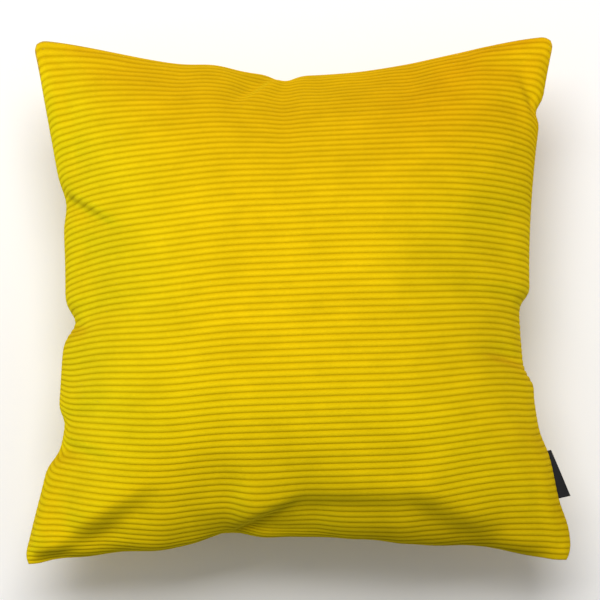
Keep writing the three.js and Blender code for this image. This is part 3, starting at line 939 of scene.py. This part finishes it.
def stitches(name, line, radius, rise):
    """One short strand for each step of a line, lifted a little in its middle."""
    start, end = line[:-1], line[1:]
    paths = [start + (end - start) * share + [0, 0, lift * rise] for share, lift in STITCH_SHAPE]
    return tubes(name, np.stack(paths, axis=1), radius)


def make_threads():
    seam = stitches("seam_stitches", seam_path(SEAM_INSET, SEAM_STITCH, False), 0.22 * MM, 0.12 * MM)
    finished(seam, "thread_yellow", "cover_seam_thread")
    line = seam_path(OVERLOCK_INSET, OVERLOCK_STEP, False)
    swing = np.arange(len(line)) * math.pi / 2
    inward = unit(-line * [1, 1, 0])
    line = line + OVERLOCK_SWING[0] * np.sin(swing)[:, None] * inward
    line[:, 2] += OVERLOCK_SWING[1] * np.cos(swing)
    overlock = tubes("overlock", [line], THREAD, 5)
    finished(overlock, "thread_yellow", "cover_overlock_thread")
    line = shrunk(seam_path(0, INSERT_STITCH, True), INSERT_STITCH_SHARE)
    inner = stitches("insert_stitches", clear_of_zip(line, INSERT_STITCH_ROOM), THREAD, 0.1 * MM)
    finished(inner, "thread_white", "insert_seam_thread")


# ---- the zip ----

TAPE_THICK = 0.6 * MM
TAPE_NEAR = 0.9 * MM  # from the seam plane to a tape's two edges
TAPE_FAR = 13.5 * MM
TAPE_LEAN = tape_high.y - tape_low.y - TAPE_THICK  # how far it leans in between them
TAPE_SEWN = 9 * MM  # where its stitches run
TAPE_STITCH = 2.6 * MM
TAPE_WAVE = (0.12 * MM, 190)  # how far it ripples, how fast
COIL_WIRE = 0.27 * MM  # the wire's radius
COIL_PITCH = 1.35 * MM
COIL_NEAR = 0.4 * MM  # from the seam plane to a coil's two sides
COIL_FAR = 2.7 * MM
COIL_DEPTH = 0.8 * MM  # half of its size on Y


def make_tape(side, face):
    columns = np.linspace(-SLOT_HALF, SLOT_HALF, 221)
    x, share = np.meshgrid(columns, np.linspace(0, 1, 13), indexing="ij")
    wave = TAPE_WAVE[0] * np.sin(x * TAPE_WAVE[1] + face) * share
    outside = np.stack([x, tape_low.y + TAPE_LEAN * share + wave,
                        SEAM_Z + face * (TAPE_NEAR + share * (TAPE_FAR - TAPE_NEAR))], axis=2)
    inside = outside + [0, TAPE_THICK, 0]
    section = (outside, inside[:, ::-1]) if face == BACK else (inside, outside[:, ::-1])
    tape = loft(f"tape_{side}", np.concatenate(section, axis=1)[None])
    finished(tape, "zip_tape", f"zip_tape_{side}")
    along = np.arange(-SLOT_HALF + 2 * MM, SLOT_HALF - 2 * MM, TAPE_STITCH)
    lean = TAPE_LEAN * (TAPE_SEWN - TAPE_NEAR) / (TAPE_FAR - TAPE_NEAR)
    line = np.stack([along, np.full_like(along, tape_low.y + lean - 0.15 * MM),
                     np.full_like(along, SEAM_Z + face * TAPE_SEWN)], axis=1)
    sewn = stitches(f"tape_stitches_{side}", line, THREAD, 0.0)
    finished(sewn, "thread_yellow", f"zip_stitch_{side}")


def make_coil(side, face):
    half = min(coil_high.x, -coil_low.x)
    turns = int(2 * half / COIL_PITCH)
    angle = np.linspace(0, turns * 2 * math.pi, turns * 10 + 1)
    near, far = COIL_NEAR + COIL_WIRE, COIL_FAR - COIL_WIRE
    x = np.linspace(-half + COIL_WIRE, half - COIL_WIRE, len(angle))
    y = (coil_low.y + coil_high.y) / 2 + (COIL_DEPTH - COIL_WIRE) * np.sin(angle)
    z = SEAM_Z + face * ((near + far) / 2 - (far - near) / 2 * np.cos(angle + (0.5 + face / 2) * math.pi))
    coil = tubes(f"coil_{side}", [np.stack([x, y, z], axis=1)], COIL_WIRE)
    finished(coil, "zip_coil", f"zip_coil_{side}")


# the metal pieces are drawn in millimetres, around a place on the zip

def bevelled(bm, width):
    sharp = [e for e in bm.edges if len(e.link_faces) == 2 and e.calc_face_angle(0) > 0.5]
    bmesh.ops.bevel(bm, geom=sharp, offset=width, segments=3, profile=0.6, affect="EDGES",
                    clamp_overlap=True)


def plate(bm, outline, low, high, bevel, thick=1):
    """Adds a plate with rounded edges: an outline in X and Z, from low to high on Y.

    With thick = 2 the outline is in X and Y, and the plate goes from low to high on Z.
    """
    part = bmesh.new()
    ring = [part.verts.new((x, low, other) if thick == 1 else (x, other, low)) for x, other in outline]
    face = part.faces.new(ring)
    for item in bmesh.ops.extrude_face_region(part, geom=[face])["geom"]:
        if isinstance(item, bmesh.types.BMVert):
            item.co[thick] = high
    bmesh.ops.recalc_face_normals(part, faces=part.faces)
    bevelled(part, bevel)
    mesh = bpy.data.meshes.new("part")
    part.to_mesh(mesh)
    bm.from_mesh(mesh)
    bpy.data.meshes.remove(mesh)
    part.free()


def oblong(x0, x1, z0, z1):
    return [(x0, z0), (x1, z0), (x1, z1), (x0, z1)]


def arc(cx, cz, radius, start, end, steps):
    return [(cx + radius * math.cos(math.radians(a)), cz + radius * math.sin(math.radians(a)))
            for a in np.linspace(start, end, steps)]


def metal_piece(name, bm, place, node, body):
    mesh = bpy.data.meshes.new(name)
    for vert in bm.verts:
        vert.co = vert.co * MM + Vector(place)
    bmesh.ops.recalc_face_normals(bm, faces=bm.faces)
    bm.to_mesh(mesh)
    bm.free()
    piece = placed(name, mesh)
    shade_smooth(piece)
    mesh.set_sharp_from_angle(angle=math.radians(35))
    finished(piece, "zip_metal", node, body)


def make_stops():
    for name, bevel in (("top_stop_front", 0.35), ("top_stop_back", 0.35), ("bottom_stop", 0.4)):
        low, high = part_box(f"zip_{name}")
        size = (high - low) / MM
        bm = bmesh.new()
        plate(bm, oblong(0, size.x, 0, size.z), 0, size.y, bevel)
        metal_piece(name, bm, low, f"zip_{name}", "cover")


# the slider's two plates: the mouth, towards +X, is as wide as they get; the tail is narrower
SHIELD = [(-4.2, -3.0), (-3.4, -3.5), (3.2, -3.7), (4.2, -3.2), (4.2, 3.2), (3.2, 3.7),
          (-3.4, 3.5), (-4.2, 3.0)]
# the bridge that holds the pull, in X and Y
BRIDGE = [(-2.6, -1.3), (-2.6, -3.4), (-1.9, -4.35), (1.9, -4.35), (2.6, -3.4), (2.6, -1.3),
          (1.8, -1.3), (1.8, -3.1), (1.5, -3.6), (-1.5, -3.6), (-1.8, -3.1), (-1.8, -1.3)]


def make_slider():
    low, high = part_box("zip_slider_body")
    bm = bmesh.new()
    plate(bm, SHIELD, -1.6, -0.4, 0.35)
    plate(bm, SHIELD, 3.7, 4.9, 0.35)
    # the post between them, and a flange along each side
    plate(bm, oblong(-1.3, 1.3, -0.34, 0.34), -1.2, 4.2, 0.1)
    for z0, z1 in ((3.1, 3.68), (-3.68, -3.1)):
        plate(bm, oblong(-3.4, 3.2, z0, z1), -1.0, 1.1, 0.2)
    plate(bm, BRIDGE, -0.8, 0.8, 0.2, thick=2)
    place = ((low.x + high.x) / 2, coil_low.y, SEAM_Z)
    metal_piece("slider", bm, place, "zip_slider_body", "zip_slider")


# the pull, in X and Z: a fork that holds the pin, a neck and a round end
PULL_FORK = [(0.5, 3.2), (0.5, 2.0), (-3.2, 2.0), *arc(-3.2, 0, 1.3, 90, 270, 9)[1:-1],
             (-3.2, -2.0), (0.5, -2.0), (0.5, -3.2)]
PULL = [*PULL_FORK, (-8.0, -2.7), (-13.0, -2.7), *arc(-18.8, 0, 3.2, -70, -290, 19),
        (-13.0, 2.7), (-8.0, 2.7)]
PIN_RADIUS, PIN_HALF, PIN_SIDES = 0.52, 2.5, 12


def make_pull():
    low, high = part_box("zip_pull_tab")
    bm = bmesh.new()
    plate(bm, PULL, -0.5, 0.5, 0.18)
    turn = np.arange(PIN_SIDES) * 2 * math.pi / PIN_SIDES
    near, far = [[bm.verts.new((PIN_RADIUS * math.cos(a), PIN_RADIUS * math.sin(a), z)) for a in turn]
                 for z in (-PIN_HALF, PIN_HALF)]
    for k in range(PIN_SIDES):
        following = (k + 1) % PIN_SIDES
        bm.faces.new((near[k], near[following], far[following], far[k]))
    bm.faces.new(near)
    bm.faces.new(far)
    place = (high.x - 0.55 * MM, (low.y + high.y) / 2, SEAM_Z)
    metal_piece("pull", bm, place, "zip_pull_tab", "zip_pull")


def make_zip():
    for side, face in FACES:
        make_tape(side, face)
        make_coil(side, face)
    make_stops()
    make_slider()
    make_pull()


# ---- the side ribbon ----

TAB_ROOT = Vector((201.7, -142.4, 68.0)) * MM  # the middle of its sewn edge
TAB_LEAN = math.radians(12.4)
TAB_WIDTH = 38 * MM
TAB_REACH = (4.5 * MM, 5.8 * MM)  # out of the seam: on average, and how much more low
TAB_SEWN = -5 * MM  # how far its two ends go into the seam
TAB_FOLD = 0.8 * MM  # the fold's outer radius
TAB_PLY = 0.45 * MM
TAB_CURL = (0.35 * MM, 5.5, 0.6)  # its waviness: height, rate and phase
TAB_FREE = 8 * MM  # how far out that is full
TAB_PINCH = 0.75  # how thick it is in the seam, as a share


def make_side_tab():
    """A satin ribbon folded in two and sewn in askew: a U in section, longer at its lower end."""
    stations = np.linspace(-0.5, 0.5, 25)
    out = Vector((math.cos(TAB_LEAN), math.sin(TAB_LEAN), 0))
    along = Vector((-math.sin(TAB_LEAN), math.cos(TAB_LEAN), 0))
    height, rate, phase = TAB_CURL
    sheet = []
    for share in stations:
        bend = TAB_REACH[0] - TAB_REACH[1] * share - TAB_FOLD
        curl = height * math.sin(share * rate + phase)
        limb = [bend * t + TAB_SEWN * (1 - t) for t in (0, 0.25, 0.5, 0.75)]
        profile = []
        for radius, order in ((TAB_FOLD, 1), (TAB_FOLD - TAB_PLY, -1)):
            half = [(x, -radius) for x in limb] + arc(bend, 0, radius, -90, 90, 9)
            half += [(x, radius) for x in reversed(limb)]
            profile += half[::order]
        for x, z in profile:
            free = max(0.0, x / TAB_FREE)
            opened = TAB_PINCH + (1 - TAB_PINCH) * min(1, free * 3)
            spot = TAB_ROOT + out * x + along * (share * TAB_WIDTH)
            sheet.append(list(spot + Vector((0, 0, z * opened + curl * free))))
    tab = loft("side_tab_ribbon", np.array(sheet).reshape(1, len(stations), -1, 3))
    tab.data.set_sharp_from_angle(angle=math.radians(50))
    finished(tab, "ribbon_black", "side_ribbon_tab", body=None)
    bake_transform(tab)


cloth_surfaces = cloth_shape()
make_cover(cloth_surfaces)
make_insert(cloth_surfaces)
make_threads()
make_zip()
make_side_tab()


# ---- floor, lights and camera ----

FLOOR_HALF = 6
PALE = (0.93, 0.93, 0.93, 1)
SKY = (1.0, 1.0, 1.0, 1)
SKY_STRENGTH = 0.34
KEY_AT = (-0.2, 1.0, 1.9)
KEY_AIM = (0, 0, 0.07)
KEY_SIZE = (2.0, 1.4)
KEY_POWER = 45
KEY_COLOUR = (1.0, 0.98, 0.96)


def studio():
    a = FLOOR_HALF
    floor = new_object("floor", [(-a, -a, 0), (a, -a, 0), (a, a, 0), (-a, a, 0)], [(0, 1, 2, 3)])
    pale = Nodes("floor", Base_Color=PALE, Roughness=0.9, Specular_IOR_Level=0.1)
    floor.data.materials.append(pale.finish())
    world = bpy.data.worlds.new("studio")
    world.use_nodes = True
    sky = world.node_tree.nodes["Background"].inputs
    sky["Color"].default_value = SKY
    sky["Strength"].default_value = SKY_STRENGTH
    bpy.context.scene.world = world
    key = bpy.data.lights.new("key", "AREA")
    key.shape = "RECTANGLE"
    key.size, key.size_y = KEY_SIZE
    key.energy = KEY_POWER
    key.color = KEY_COLOUR
    light = placed("key", key)
    light.location = KEY_AT
    light.rotation_euler = (Vector(KEY_AIM) - Vector(KEY_AT)).to_track_quat("-Z", "Y").to_euler()
    bpy.context.scene.view_settings.view_transform = "Standard"


VIEW_TARGET = Vector((1.6 * MM, -2.4 * MM, SEAM_Z))
VIEW_TILT = math.radians(11)
VIEW_DISTANCE = 1.273
VIEW_ROLL = math.radians(-0.45)
LENS, SENSOR = 95.8, 36


def photographed_from():
    data = bpy.data.cameras.new("camera")
    data.lens = LENS
    data.sensor_width = SENSOR
    camera = placed("camera", data)
    camera.location = VIEW_TARGET + VIEW_DISTANCE * Vector((0, -math.sin(VIEW_TILT), math.cos(VIEW_TILT)))
    camera.rotation_euler = Euler((VIEW_TILT, 0, VIEW_ROLL))
    bpy.context.scene.camera = camera


studio()
photographed_from()
